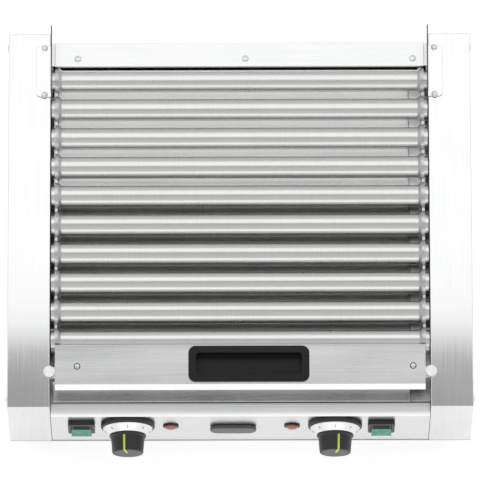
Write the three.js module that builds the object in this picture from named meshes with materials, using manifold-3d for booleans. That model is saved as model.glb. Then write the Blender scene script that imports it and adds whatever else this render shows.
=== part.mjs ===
// Hot dog roller grill: two folded steel end towers, ten chain-driven heated rollers between
// them, a pull-out drip tray with a recessed pull, and a control panel for two heating zones.
// Millimetres. +X to the operator's right, +Y to the back, +Z up, Z = 0 on the worktop.
import * as THREE from 'three';
import { mergeVertices } from 'three/addons/utils/BufferGeometryUtils.js';
import Module from 'manifold-3d';

const wasm = await Module();
wasm.setup();

// ---- Driving dimensions -------------------------------------------------------------------
const bodyWidth = 520;
const bodyDepth = 437;
const towerWidth = 47.5;
const towerHeight = 143;
const footHeight = 32;
const sheet = 1.2;
const gap = 0.3;              // air left between pieces that touch
const roundSides = 16;        // flats on a large turned piece
const smallSides = 12;        // flats on a small one
const dialSides = 20;

const rollerCount = 10;
const rollerDiameter = 25;
const rollerWall = 1.5;
const rollerTopDrop = 1.5;    // top of the rollers below the tower tops
const frontRollerSetback = 79.6;
const rearRollerSetback = 52.03;
const runningClearance = 0.5; // radial, where a roller passes through an end shield
const neckClearance = 1.5;    // radial, where its neck passes through an inner wall
const neckRadius = 6.5;       // bearing neck at each end of a roller
const neckBore = 4.6;
const endPlug = 8;            // solid length between a neck and the hollow tube
const tubeEndGap = 0.9;       // roller tube short of the inner wall

const wallSheet = 1.5;
const shieldSheet = 3;
const shieldStandOff = 5.3;   // inner wall to end shield
const shieldRim = 3.4;        // shield edge outside the roller
const shieldWebRise = 5;      // web between two scallops, above the roller axis
const shieldPost = 3;

const sprocketTeeth = 11;
const sprocketTipRadius = 9.4;
const sprocketRootRadius = 7.6;
const sprocketThickness = 4;
const sprocketInset = 9;      // inner wall to sprocket
const chainThickness = 2.2;
const chainWidth = 5;
const chainClearance = 0.5;
const motorTeeth = 30;
const motorTipRadius = 24.1;
const motorRootRadius = 22.3;
const motorFloorClearance = 23.8;
const motorRadius = 26;
const motorLength = 22;
const motorShaftRadius = 4;

const heaterRadius = 3.6;
const heaterEndGap = 18;      // free end of a heater short of the roller's driven end
const heaterStripSheet = 2;
const heaterStripHeight = 18;

const panelBandRun = 8.2;
const panelBandRise = 6.5;
const panelLedge = 5.6;
const panelReturn = 9;
const panelInset = 0.6;       // panel face behind the tower fronts
const controlsCentreX = -10;
const knobOffsetX = 116.2;
const knobDrop = 30.3;        // drops are below the top of the panel's flat face
const switchOffsetX = 168.2;
const switchDrop = 35.2;
const lampOffsetX = 68;
const lampDrop = 37.7;
const badgeOffsetX = 2;
const badgeDrop = 44.7;

const dialBaseRadius = 30.3;
const dialBaseThickness = 4.7;
const dialRadius = 27.8;
const dialTopRadius = 21.2;
const dialThickness = 8.7;
const knobFlangeRadius = 20.6;
const knobFlange = 2;
const knobRadius = 18.7;
const knobEndRadius = 17.4;
const knobLength = 21;
const spindleRadius = 4.5;
const spindleHold = 9;        // spindle inside the knob
const thermostatSize = 38;
const thermostatDepth = 22;

const switchWidth = 30;
const switchHeight = 36;
const switchProud = 5;
const rockerWidth = 22.6;
const rockerHeight = 26;
const rockerDepth = 13;
const rockerClearance = 0.5;
const switchBodyWall = 1.6;

const lampRadius = 8.9;
const lampLensRadius = 7.4;
const lampProud = 5.2;
const lampBarrelRadius = 5.6;
const lampBarrelLength = 14;

const badgeWidth = 52;
const badgeHeight = 22;
const badgeThickness = 4.4;

const trayFloorSheet = 1;
const trayRimHeight = 6.6;
const trayLeftInset = 3;      // insets are from the towers' inner edges
const trayRightInset = 22.5;
const trayFrontOverhang = 12.1;
const trayPastRollers = 17;   // rear roller's axis to the tray's rear edge
const trayRollerClearance = 1.6;
const hangerInset = 2.3;
const trayLift = 0.6;         // tray floor above the control panel's top

const coverFrontMargin = 2.8;
const coverShareOfRoller = 0.552; // radii from the front roller's axis to the cover's rear edge
const coverDrop = 1.8;        // cover plate below the tower tops
const coverEndClearance = 5.6;
const coverLip = 5.3;
const coverBackFlare = 1.3;
const coverBackRise = 0.9;

const pullCentreX = 9.7;
const pullFlange = 1.6;
const pullCornerRadius = 8;
const cupWidth = 121;
const cupDepth = 29;
const cupSideRim = 7;         // rims are the pull's flange around its cup
const cupFrontRim = 5.8;
const cupRearRim = 6.4;
const cupFloorDrop = 12;
const cupWall = 1.5;
const cupCornerRadius = 5;

const studRadius = 6.8;
const studFluteDepth = 1.2;
const studThickness = 4.5;
const studInsetY = 13.7;
const stemInset = 2.2;        // stem centre inside the tower's inner edge
const studOverhang = 0.6;     // cap centre outside it
const studStemRadius = 1.6;
const studFlutes = 12;
const earDepth = 13;

const railWidth = 9;
const railSheet = 1.2;
const sideBoxHeight = 6.2;

const barRollerClearance = 1;
const barRearInset = 11.5;
const barDrop = 1;
const barLipHeight = 4;
const barRearHeight = 21;
const barEndClearance = 4.5;
const backInset = 12.8;

const bracketSheet = 1.6;
const bracketFootWidth = 18.4;
const bracketFootLength = 60;
const bracketRearInset = 75;
const bracketBladeLength = 76;
const bracketBladeHeight = 29;
const bracketCornerRadius = 6;

const footTopRadius = 15;
const footBottomRadius = 17;
const footInsetX = 34;
const footInsetY = 46;

const sideScrewRadius = 5;
const sideScrewHead = 1.9;
const sideScrewShank = 2;
const sideScrewInset = 12.5;
const sideScrewDrop = 15;

const glandInsetX = 24;
const glandHeight = 62;
const glandFlangeRadius = 11;
const glandNutRadius = 9;
const glandBoreRadius = 4;
const glandReach = 16;

// ---- Places worked out from them ----------------------------------------------------------
const knobReach = -panelInset + dialBaseThickness + dialThickness + knobLength + gap;
const frontY = (knobReach - bodyDepth - glandReach - gap) / 2;
const rearY = frontY + bodyDepth;
const halfWidth = bodyWidth / 2;
const innerX = halfWidth - towerWidth;
const towerTop = footHeight + towerHeight;
const rollerRadius = rollerDiameter / 2;
const rollerZ = towerTop - rollerTopDrop - rollerRadius;
const rollerPitch = (bodyDepth - frontRollerSetback - rearRollerSetback) / (rollerCount - 1);
const rollerYs = Array.from({ length: rollerCount }, (_, i) =>
  frontY + frontRollerSetback + (rollerCount - 1 - i) * rollerPitch);
const wallX = innerX + gap;                 // inner wall's visible face
const shieldX = wallX - shieldStandOff;     // shield's outboard face
const sprocketX = wallX + wallSheet + sprocketInset;
const panelY = frontY + panelInset;
const trayZ = rollerZ - rollerRadius - trayRollerClearance - trayRimHeight;
const panelTopZ = trayZ - trayLift;
const panelFaceTop = panelTopZ - panelBandRise;
const knobZ = panelFaceTop - knobDrop;
const switchZ = panelFaceTop - switchDrop;
const lampZ = panelFaceTop - lampDrop;
const badgeZ = panelFaceTop - badgeDrop;
const knobX = [controlsCentreX - knobOffsetX, controlsCentreX + knobOffsetX];
const switchX = [controlsCentreX - switchOffsetX, controlsCentreX + switchOffsetX];
const lampX = [controlsCentreX - lampOffsetX, controlsCentreX + lampOffsetX];
const sideNames = ['left', 'right'];
const coverZ = towerTop - coverDrop;
const coverRearY = frontY + frontRollerSetback - coverShareOfRoller * rollerRadius;
const pullRearY = coverRearY - coverBackFlare - gap;
const cupRearY = pullRearY - cupRearRim;
const cupFrontY = cupRearY - cupDepth;
const pullFrontY = cupFrontY - cupFrontRim;
const coverFrontY = pullFrontY - coverFrontMargin;
const hangerY = coverFrontY + hangerInset;
const studY = coverFrontY + studInsetY;
const trayFrontY = coverFrontY - trayFrontOverhang;
const barFrontY = rollerYs[0] + rollerRadius + barRollerClearance;
const barRearY = rearY - barRearInset;
const trayLeftX = -(innerX - trayLeftInset);
const trayRightX = innerX - trayRightInset;
const trayRearY = rollerYs[0] + trayPastRollers;
const glandX = -(halfWidth - glandInsetX);
const motorY = (rollerYs[0] + rollerYs[rollerCount - 1]) / 2;
const motorZ = footHeight + sheet + motorFloorClearance + motorRadius;

// ---- Geometry helpers ---------------------------------------------------------------------
const alongX = new THREE.Matrix4().makeBasis(
  new THREE.Vector3(0, 1, 0), new THREE.Vector3(0, 0, 1), new THREE.Vector3(1, 0, 0));
const alongMinusY = new THREE.Matrix4().makeBasis(
  new THREE.Vector3(1, 0, 0), new THREE.Vector3(0, 0, 1), new THREE.Vector3(0, -1, 0));

// Position-only geometry with shared vertices and no collapsed triangles, facing outwards.
function clean(geometry) {
  const loose = geometry.index ? geometry.toNonIndexed() : geometry.clone();
  loose.deleteAttribute('normal');
  loose.deleteAttribute('uv');
  const merged = mergeVertices(loose, 1e-4);
  const corners = merged.index.array;
  const position = merged.attributes.position;
  const kept = [];
  const a = new THREE.Vector3();
  const b = new THREE.Vector3();
  const c = new THREE.Vector3();
  let volume = 0;
  for (let i = 0; i < corners.length; i += 3) {
    const [p, q, r] = [corners[i], corners[i + 1], corners[i + 2]];
    if (p === q || q === r || r === p) continue;
    a.fromBufferAttribute(position, p);
    b.fromBufferAttribute(position, q);
    c.fromBufferAttribute(position, r);
    volume += a.dot(b.cross(c));
    kept.push(p, q, r);
  }
  merged.setIndex(volume < 0 ? kept.reverse() : kept);
  return merged;
}

function toSolid(geometry) {
  const closed = clean(geometry);
  return new wasm.Manifold(new wasm.Mesh({
    numProp: 3,
    vertProperties: new Float32Array(closed.attributes.position.array),
    triVerts: new Uint32Array(closed.index.array),
  }));
}

function toGeometry(solid) {
  const mesh = solid.getMesh();
  const geometry = new THREE.BufferGeometry();
  geometry.setAttribute('position', new THREE.BufferAttribute(new Float32Array(mesh.vertProperties), 3));
  geometry.setIndex(new THREE.BufferAttribute(new Uint32Array(mesh.triVerts), 1));
  return geometry;
}

function combine(base, added, removed = []) {
  let solid = toSolid(base);
  for (const piece of added) solid = solid.add(toSolid(piece));
  for (const piece of removed) solid = solid.subtract(toSolid(piece));
  return toGeometry(solid);
}

function block(x0, x1, y0, y1, z0, z1) {
  return new THREE.BoxGeometry(x1 - x0, y1 - y0, z1 - z0)
    .translate((x0 + x1) / 2, (y0 + y1) / 2, (z0 + z1) / 2);
}

// Outlines: (y, z) pushed along X, (x, z) pushed along Y, (x, y) pushed along Z.
function pushX(shape, x0, x1, curveSegments = 12) {
  return new THREE.ExtrudeGeometry(shape, { depth: x1 - x0, bevelEnabled: false, curveSegments })
    .applyMatrix4(alongX).translate(x0, 0, 0);
}

function pushY(shape, y0, y1, curveSegments = 12) {
  return new THREE.ExtrudeGeometry(shape, { depth: y1 - y0, bevelEnabled: false, curveSegments })
    .applyMatrix4(alongMinusY).translate(0, y1, 0);
}

function pushZ(shape, z0, z1, curveSegments = 12) {
  return new THREE.ExtrudeGeometry(shape, { depth: z1 - z0, bevelEnabled: false, curveSegments })
    .translate(0, 0, z0);
}

// Turned shapes: profile points are [radius, distance along the axis].
function turn(profile, segments) {
  return new THREE.LatheGeometry(profile.map(([r, d]) => new THREE.Vector2(r, d)), segments);
}

function turnX(profile, segments, x, y, z) {
  return turn(profile, segments).rotateZ(-Math.PI / 2).translate(x, y, z);
}

function rodX(x0, x1, y, z, radius, segments) {
  return turnX([[0, x0], [radius, x0], [radius, x1], [0, x1]], segments, 0, y, z);
}

// The distance runs towards the operator, along -Y.
function turnOut(profile, segments, x, y, z) {
  return turn(profile, segments).rotateX(Math.PI).translate(x, y, z);
}

function turnZ(profile, segments, x, y, z) {
  return turn(profile, segments).rotateX(Math.PI / 2).translate(x, y, z);
}

function roundedRectangle(x0, x1, y0, y1, radius) {
  const shape = new THREE.Shape();
  shape.absarc(x1 - radius, y0 + radius, radius, -Math.PI / 2, 0);
  shape.absarc(x1 - radius, y1 - radius, radius, 0, Math.PI / 2);
  shape.absarc(x0 + radius, y1 - radius, radius, Math.PI / 2, Math.PI);
  shape.absarc(x0 + radius, y0 + radius, radius, Math.PI, 1.5 * Math.PI);
  shape.closePath();
  return shape;
}

function polygon(points) {
  return new THREE.Shape(points.map(([u, v]) => new THREE.Vector2(u, v)));
}

// Outline of a folded sheet: the given fold line, and the same line moved to its left.
function foldedSheet(line, thickness) {
  const points = line.map(([u, v]) => new THREE.Vector2(u, v));
  const leftOf = (from, to) => {
    const step = to.clone().sub(from).normalize();
    return new THREE.Vector2(-step.y, step.x);
  };
  const moved = points.map((point, i) => {
    const before = i > 0 ? leftOf(points[i - 1], point) : leftOf(point, points[1]);
    const after = i < points.length - 1 ? leftOf(point, points[i + 1]) : before;
    const middle = before.clone().add(after).normalize();
    return point.clone().addScaledVector(middle, thickness / middle.dot(before));
  });
  return new THREE.Shape([...points, ...moved.reverse()]);
}

// ---- Materials ----------------------------------------------------------------------------
const finishes = {
  steel: () => new THREE.MeshStandardMaterial({ color: 0xd6d7d8, roughness: 0.35, metalness: 1 }),
  rollerSteel: () => new THREE.MeshStandardMaterial({ color: 0xc9cacb, roughness: 0.25, metalness: 1 }),
  blackPlastic: () => new THREE.MeshStandardMaterial({ color: 0x1e1e1f, roughness: 0.45, metalness: 0 }),
  rubber: () => new THREE.MeshStandardMaterial({ color: 0x18181a, roughness: 0.8, metalness: 0 }),
  green: () => new THREE.MeshStandardMaterial({ color: 0x1f7a5c, roughness: 0.3, metalness: 0 }),
  amber: () => new THREE.MeshStandardMaterial({ color: 0xb5623c, roughness: 0.2, metalness: 0 }),
  dial: () => new THREE.MeshStandardMaterial({ color: 0xe6e6e6, roughness: 0.35, metalness: 0.8 }),
  nylon: () => new THREE.MeshStandardMaterial({ color: 0xf4f4f2, roughness: 0.5, metalness: 0 }),
  badgeGrey: () => new THREE.MeshStandardMaterial({ color: 0x77787a, roughness: 0.4, metalness: 0.3 }),
  darkSteel: () => new THREE.MeshStandardMaterial({ color: 0x55585c, roughness: 0.5, metalness: 0.9 }),
  heater: () => new THREE.MeshStandardMaterial({ color: 0x6d6a66, roughness: 0.6, metalness: 0.7 }),
};

const grill = new THREE.Group();

function addPiece(name, geometry, finish) {
  const mesh = new THREE.Mesh(clean(geometry), finishes[finish]());
  mesh.name = name;
  grill.add(mesh);
}

// ---- Towers -------------------------------------------------------------------------------
function sideScrewPlaces() {
  const z = towerTop - sideScrewDrop;
  return [[frontY + sideScrewInset, z], [rearY - sideScrewInset, z]];
}

function towerCover(side) {
  const outer = side * halfWidth;
  const inner = side * innerX;
  const [x0, x1] = [Math.min(outer, inner), Math.max(outer, inner)];
  const bottom = footHeight + sheet + gap;
  const body = block(x0, x1, frontY, rearY, bottom, towerTop);
  const hollow = block(
    side < 0 ? x0 + sheet : x0 - sheet, side < 0 ? x1 + sheet : x1 - sheet,
    frontY + sheet, rearY - sheet, bottom - sheet, towerTop - sheet);
  const cuts = [hollow];
  const shankHole = sideScrewShank + gap;
  for (const [y, z] of sideScrewPlaces()) {
    cuts.push(turnX([[0, -2 * sheet], [shankHole, -2 * sheet], [shankHole, 2 * sheet], [0, 2 * sheet]],
      smallSides, outer, y, z));
  }
  if (Math.sign(glandX) === side) {
    const bore = glandNutRadius - 1 + gap;
    cuts.push(turnOut([[0, -2 * sheet], [bore, -2 * sheet], [bore, 2 * sheet], [0, 2 * sheet]],
      smallSides, glandX, rearY, glandHeight));
  }
  return combine(body, [], cuts);
}

function innerWall(side) {
  const [x0, x1] = side < 0 ? [-wallX - wallSheet, -wallX] : [wallX, wallX + wallSheet];
  const plate = block(x0, x1, frontY + sheet + gap, rearY - sheet - gap,
    footHeight + sheet + gap, towerTop - sheet - gap);
  const holeRadius = neckRadius + neckClearance;
  const holes = rollerYs.map((y) => rodX(x0 - 1, x1 + 1, y, rollerZ, holeRadius, smallSides));
  return combine(plate, [], holes);
}

// A scalloped plate that every roller passes through, standing off the inner wall on two posts.
function endShield(side) {
  const rim = rollerRadius + shieldRim;
  const foot = rollerZ - rollerRadius - 1;
  const frontToBack = [...rollerYs].reverse();
  const valley = Math.max(Math.asin(shieldWebRise / rim),
    Math.acos(Math.min(1, rollerPitch / 2 / rim)) + 0.02);
  const outline = new THREE.Shape();
  outline.moveTo(frontToBack[0] - rim, foot);
  outline.lineTo(frontToBack[rollerCount - 1] + rim, foot);
  for (let i = rollerCount - 1; i >= 0; i -= 1) {
    const start = i === rollerCount - 1 ? 0 : valley;
    const end = i === 0 ? Math.PI : Math.PI - valley;
    outline.absarc(frontToBack[i], rollerZ, rim, start, end);
  }
  outline.closePath();
  const [x0, x1] = side < 0 ? [-shieldX, -shieldX + shieldSheet] : [shieldX - shieldSheet, shieldX];
  const plate = pushX(outline, x0, x1, 5);
  const holeRadius = rollerRadius + runningClearance;
  const holes = rollerYs.map((y) => rodX(x0 - 1, x1 + 1, y, rollerZ, holeRadius, roundSides));
  const [post0, post1] = side < 0 ? [-wallX + gap, x0 + 1] : [x1 - 1, wallX - gap];
  const between = [0, rollerCount - 2].map((i) => (rollerYs[i] + rollerYs[i + 1]) / 2);
  const posts = between.map((y) => block(post0, post1,
    y - shieldPost / 2, y + shieldPost / 2, foot, foot + shieldPost));
  const behindBar = block(x0 - 1, x1 + 1, barFrontY - gap, rearY, foot - 1, towerTop);
  const underCover = block(x0 - 1, x1 + 1, frontY, coverRearY + sheet,
    coverZ - 2 * sheet, towerTop + rim);
  return combine(plate, posts, [...holes, behindBar, underCover]);
}

function sideScrew(side, [y, z]) {
  const head = side * (halfWidth + gap);
  const profile = [
    [0, -8], [sideScrewShank, -8], [sideScrewShank, 0], [sideScrewRadius, 0],
    [sideScrewRadius, sideScrewHead * 0.45], [sideScrewRadius * 0.7, sideScrewHead - gap],
    [0, sideScrewHead - gap],
  ];
  const screw = turn(profile, smallSides).rotateZ(-side * Math.PI / 2);
  return screw.translate(head, y, z);
}

for (const side of [-1, 1]) {
  const word = side < 0 ? 'left' : 'right';
  addPiece(`${word}_tower_cover`, towerCover(side), 'steel');
  addPiece(`${word}_inner_wall`, innerWall(side), 'steel');
  addPiece(`${word}_end_shield`, endShield(side), 'steel');
  sideScrewPlaces().forEach((place, i) => {
    addPiece(`${word}_side_screw_${i ? 'rear' : 'front'}`, sideScrew(side, place), 'steel');
  });
}

// ---- Rollers and drive --------------------------------------------------------------------
function sprocketOutline(y, z, teeth, rootRadius, tipRadius) {
  const points = [];
  for (let i = 0; i < 2 * teeth; i += 1) {
    const angle = Math.PI * i / teeth;
    const radius = i % 2 ? rootRadius : tipRadius;
    points.push([y + radius * Math.cos(angle), z + radius * Math.sin(angle)]);
  }
  return polygon(points);
}

const rollerLeftEnd = -(wallX + wallSheet + 7);
const rollerRightEnd = sprocketX + sprocketThickness + 1.5;
const tubeEnd = wallX - tubeEndGap;

// A closed tube with a hollow neck at each end; the driven neck carries its sprocket.
function roller(y) {
  const bore = rollerRadius - rollerWall;
  const hollowEnd = tubeEnd - endPlug;
  const tube = turnX([
    [neckBore, rollerLeftEnd], [neckRadius, rollerLeftEnd], [neckRadius, -tubeEnd],
    [rollerRadius, -tubeEnd], [rollerRadius, tubeEnd], [neckRadius, tubeEnd],
    [neckRadius, rollerRightEnd], [neckBore, rollerRightEnd], [neckBore, hollowEnd],
    [bore, hollowEnd], [bore, -hollowEnd], [neckBore, -hollowEnd], [neckBore, rollerLeftEnd],
  ], roundSides, 0, y, rollerZ);
  const outline = sprocketOutline(y, rollerZ, sprocketTeeth, sprocketRootRadius, sprocketTipRadius);
  const sprocket = pushX(outline, sprocketX, sprocketX + sprocketThickness);
  const through = rodX(sprocketX - 1, sprocketX + sprocketThickness + 1, y, rollerZ,
    (neckBore + neckRadius) / 2, smallSides);
  return toGeometry(toSolid(sprocket).subtract(toSolid(through)).add(toSolid(tube)));
}

rollerYs.forEach((y, i) => {
  addPiece(`roller_${String(i + 1).padStart(2, '0')}`, roller(y), 'rollerSteel');
});

// The chain runs over every roller sprocket, down to the motor sprocket and back up.
function chainLoop(clearance) {
  const wheels = [
    { centre: new THREE.Vector2(rollerYs[0], rollerZ), radius: sprocketTipRadius + clearance },
    { centre: new THREE.Vector2(rollerYs[rollerCount - 1], rollerZ), radius: sprocketTipRadius + clearance },
    { centre: new THREE.Vector2(motorY, motorZ), radius: motorTipRadius + clearance },
  ];
  // Angle at which the straight run between two wheels touches both of them.
  const touching = (from, to) => {
    const run = to.centre.clone().sub(from.centre);
    return run.angle() - Math.acos((from.radius - to.radius) / run.length());
  };
  const loop = new THREE.Shape();
  wheels.forEach((wheel, i) => {
    const arriving = touching(wheels[(i + 2) % 3], wheel);
    const leaving = touching(wheel, wheels[(i + 1) % 3]);
    const swing = (leaving - arriving + 4 * Math.PI) % (2 * Math.PI);
    loop.absarc(wheel.centre.x, wheel.centre.y, wheel.radius, arriving, arriving + swing);
  });
  loop.closePath();
  return loop;
}

const chainX = sprocketX + (sprocketThickness - chainWidth) / 2;
addPiece('drive_chain', combine(
  pushX(chainLoop(chainClearance + chainThickness), chainX, chainX + chainWidth, 6), [],
  [pushX(chainLoop(chainClearance), chainX - 1, chainX + chainWidth + 1, 6)]), 'darkSteel');

const motorOutline = sprocketOutline(motorY, motorZ, motorTeeth, motorRootRadius, motorTipRadius);
const shaftHole = rodX(sprocketX - 1, sprocketX + sprocketThickness + 1, motorY, motorZ,
  motorShaftRadius + gap, smallSides);
addPiece('motor_sprocket', combine(
  pushX(motorOutline, sprocketX, sprocketX + sprocketThickness), [], [shaftHole]), 'darkSteel');

const motorX = sprocketX + sprocketThickness + 2;
addPiece('gear_motor', turnX([
  [0, sprocketX - 1], [motorShaftRadius, sprocketX - 1], [motorShaftRadius, motorX],
  [motorRadius - 2, motorX], [motorRadius, motorX + 2], [motorRadius, motorX + motorLength],
  [0, motorX + motorLength],
], roundSides, 0, motorY, motorZ), 'darkSteel');

// Ten rod heaters stand still inside the turning rollers, carried by one terminal strip.
const stripX = rollerLeftEnd - 6;
const heaterStrip = block(stripX - heaterStripSheet, stripX,
  rollerYs[rollerCount - 1] - rollerRadius, rollerYs[0] + rollerRadius,
  rollerZ - heaterStripHeight / 2, towerTop - sheet - 2 * gap);
addPiece('heater_rack', combine(heaterStrip, rollerYs.map((y) => turnX([
  [0, stripX - heaterStripSheet - 6], [heaterRadius, stripX - heaterStripSheet - 6],
  [heaterRadius, rollerRightEnd - heaterEndGap], [0, rollerRightEnd - heaterEndGap],
], smallSides / 2, 0, y, rollerZ))), 'heater');

// ---- Base, back and feet ------------------------------------------------------------------
function basePan() {
  const slotCount = 7;
  const slotLength = 24;
  const slotWidth = 6;
  const slots = [];
  for (const side of [-1, 1]) {
    const x = side * (halfWidth - towerWidth / 2);
    for (let i = 0; i < slotCount; i += 1) {
      const y = frontY + bodyDepth / 2 + (i - (slotCount - 1) / 2) * 3 * slotWidth;
      slots.push(block(x - slotLength / 2, x + slotLength / 2, y - slotWidth / 2, y + slotWidth / 2,
        footHeight - 1, footHeight + sheet + 1));
    }
  }
  return combine(block(-halfWidth, halfWidth, frontY, rearY, footHeight, footHeight + sheet), [], slots);
}

addPiece('base_pan', basePan(), 'steel');

const backBottom = footHeight + sheet + gap;
const backTop = towerTop - barDrop - sheet - gap;
addPiece('back_panel', block(-innerX + gap, innerX - gap,
  rearY - backInset - sheet, rearY - backInset, backBottom, backTop), 'steel');

const barTop = towerTop - barDrop;
addPiece('rear_bar', pushX(foldedSheet([
  [barFrontY, barTop - barLipHeight], [barFrontY, barTop],
  [barRearY + sheet, barTop], [barRearY + sheet, barTop - barRearHeight],
], -sheet), -innerX + barEndClearance, innerX - barEndClearance), 'steel');

for (const side of [-1, 1]) {
  for (const [end, y] of [['front', frontY + footInsetY], ['rear', rearY - footInsetY]]) {
    addPiece(`foot_${end}_${side < 0 ? 'left' : 'right'}`, turnZ([
      [0, 0], [footBottomRadius - 1.5, 0], [footBottomRadius, 1.5],
      [footTopRadius, footHeight - gap], [0, footHeight - gap],
    ], roundSides, side * (halfWidth - footInsetX), y, 0), 'rubber');
  }
}

// Cable gland on the back of one tower; its bore is where the mains lead would enter.
addPiece('cable_gland', turnOut([
  [glandBoreRadius, 6], [glandNutRadius - 1, 6], [glandNutRadius - 1, -gap],
  [glandFlangeRadius, -gap], [glandFlangeRadius, -gap - 3], [glandNutRadius, -gap - 3],
  [glandNutRadius, -gap - 11], [glandNutRadius - 3, -gap - glandReach],
  [glandBoreRadius, -gap - glandReach], [glandBoreRadius, 6],
], smallSides, glandX, rearY, glandHeight), 'blackPlastic');

// ---- Guard brackets -----------------------------------------------------------------------
function guardBracket(side) {
  const inner = side * (innerX - bracketSheet - gap);
  const outer = inner + side * bracketFootWidth;
  const [x0, x1] = [Math.min(inner, outer), Math.max(inner, outer)];
  const y0 = rearY - bracketRearInset;
  const z0 = towerTop + gap;
  const round = bracketCornerRadius;
  const foot = new THREE.Shape();
  foot.moveTo(inner, y0);
  foot.lineTo(inner, y0 + bracketFootLength);
  foot.lineTo(outer - side * round, y0 + bracketFootLength);
  foot.quadraticCurveTo(outer, y0 + bracketFootLength, outer, y0 + bracketFootLength - round);
  foot.lineTo(outer, y0 + round);
  foot.quadraticCurveTo(outer, y0, outer - side * round, y0);
  foot.closePath();
  const blade = side < 0
    ? block(x1 - bracketSheet, x1, y0, y0 + bracketBladeLength, z0, z0 + bracketBladeHeight)
    : block(x0, x0 + bracketSheet, y0, y0 + bracketBladeLength, z0, z0 + bracketBladeHeight);
  return combine(pushZ(foot, z0, z0 + bracketSheet, 5), [blade]);
}

addPiece('guard_bracket_left', guardBracket(-1), 'steel');
addPiece('guard_bracket_right', guardBracket(1), 'steel');

// ---- Control panel ------------------------------------------------------------------------
const switchBodyWidth = rockerWidth + 2 * rockerClearance + 2 * switchBodyWall;
const switchBodyHeight = rockerHeight + 2 * rockerClearance + 2 * switchBodyWall;

function controlPanel() {
  const ledgeY = panelY + panelBandRun;
  const profile = foldedSheet([
    [panelY, footHeight + sheet + gap], [panelY, panelFaceTop], [ledgeY, panelTopZ],
    [ledgeY + panelLedge, panelTopZ], [ledgeY + panelLedge, panelTopZ - panelReturn],
  ], -sheet);
  const panel = pushX(profile, -innerX + gap, innerX - gap);
  const drill = (x, z, radius) => turnOut(
    [[0, -3 * sheet], [radius, -3 * sheet], [radius, sheet], [0, sheet]], smallSides, x, panelY, z);
  const cuts = [];
  for (const x of knobX) cuts.push(drill(x, knobZ, spindleRadius + gap));
  for (const x of lampX) cuts.push(drill(x, lampZ, lampBarrelRadius + gap));
  const halfCutWidth = switchBodyWidth / 2 + gap;
  const halfCutHeight = switchBodyHeight / 2 + gap;
  for (const x of switchX) {
    cuts.push(block(x - halfCutWidth, x + halfCutWidth, panelY - sheet, panelY + 3 * sheet,
      switchZ - halfCutHeight, switchZ + halfCutHeight));
  }
  return combine(panel, [], cuts);
}

addPiece('control_panel', controlPanel(), 'steel');

function dialBase(x) {
  const bore = spindleRadius + 2 * gap;
  return turnOut([
    [bore, gap], [dialBaseRadius, gap], [dialBaseRadius, dialBaseThickness - 1],
    [dialBaseRadius - 1, dialBaseThickness], [bore, dialBaseThickness], [bore, gap],
  ], dialSides, x, panelY, knobZ);
}

const dialFront = dialBaseThickness + dialThickness;

function dialScale(x) {
  const bore = spindleRadius + 2 * gap;
  const back = dialBaseThickness + gap;
  return turnOut([
    [bore, back], [dialRadius, back], [dialRadius, back + 0.8],
    [dialTopRadius, dialFront], [bore, dialFront], [bore, back],
  ], dialSides, x, panelY, knobZ);
}

function knob(x) {
  const back = dialFront + gap;
  const front = back + knobLength;
  const bore = spindleRadius + gap;
  const boreEnd = back + spindleHold + gap;
  const edge = 1.6;
  return turnOut([
    [bore, back], [knobFlangeRadius, back], [knobFlangeRadius, back + knobFlange],
    [knobRadius, back + knobFlange + 0.6], [knobEndRadius, front - edge],
    [knobEndRadius - edge, front], [0, front], [0, boreEnd], [bore, boreEnd], [bore, back],
  ], dialSides, x, panelY, knobZ);
}

function thermostat(x) {
  const y = panelY + sheet + gap;
  const half = thermostatSize / 2;
  const body = block(x - half, x + half, y, y + thermostatDepth,
    knobZ - half, knobZ + half);
  const tip = dialFront + gap + spindleHold;
  const spindle = turnOut([[0, -sheet - 4], [spindleRadius, -sheet - 4],
    [spindleRadius, tip], [0, tip]], smallSides, x, panelY, knobZ);
  return combine(body, [spindle]);
}

sideNames.forEach((word, i) => {
  addPiece(`dial_base_${word}`, dialBase(knobX[i]), 'blackPlastic');
  addPiece(`dial_scale_${word}`, dialScale(knobX[i]), 'dial');
  addPiece(`knob_${word}`, knob(knobX[i]), 'blackPlastic');
  addPiece(`thermostat_${word}`, thermostat(knobX[i]), 'darkSteel');
});

// A rocker switch: a framed box through the panel and a rocker that tips about its middle.
function switchBody(x) {
  const z = switchZ;
  const front = panelY - switchProud;
  const frame = pushY(roundedRectangle(x - switchWidth / 2, x + switchWidth / 2,
    z - switchHeight / 2, z + switchHeight / 2, 3), front, panelY - gap, 4);
  const boxDepth = rockerDepth + 6;
  const housing = block(x - switchBodyWidth / 2, x + switchBodyWidth / 2, front + 1,
    panelY + boxDepth, z - switchBodyHeight / 2, z + switchBodyHeight / 2);
  const halfWide = rockerWidth / 2 + rockerClearance;
  const halfHigh = rockerHeight / 2 + rockerClearance;
  const well = block(x - halfWide, x + halfWide, front - 1, panelY + rockerDepth,
    z - halfHigh, z + halfHigh);
  return combine(frame, [housing], [well]);
}

// Outline in (y, z) from the pivot, which lies in the plane of the panel. The lower end
// stands proud at rest and the upper end is level with the frame.
function rocker(x) {
  const half = rockerHeight / 2;
  const pushed = -switchProud + 0.4;
  const proud = -switchProud - 5.4;
  const outline = polygon([
    [pushed, half - 1.2], [-switchProud - 0.6, 0], [proud, -half + 2.5],
    [proud + 1.6, -half + 1.8], [3.5, -half + 4.5], [6, 0], [4, half - 3.5],
  ].map(([y, z]) => [panelY + y, switchZ + z]));
  return pushX(outline, x - rockerWidth / 2, x + rockerWidth / 2);
}

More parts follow.
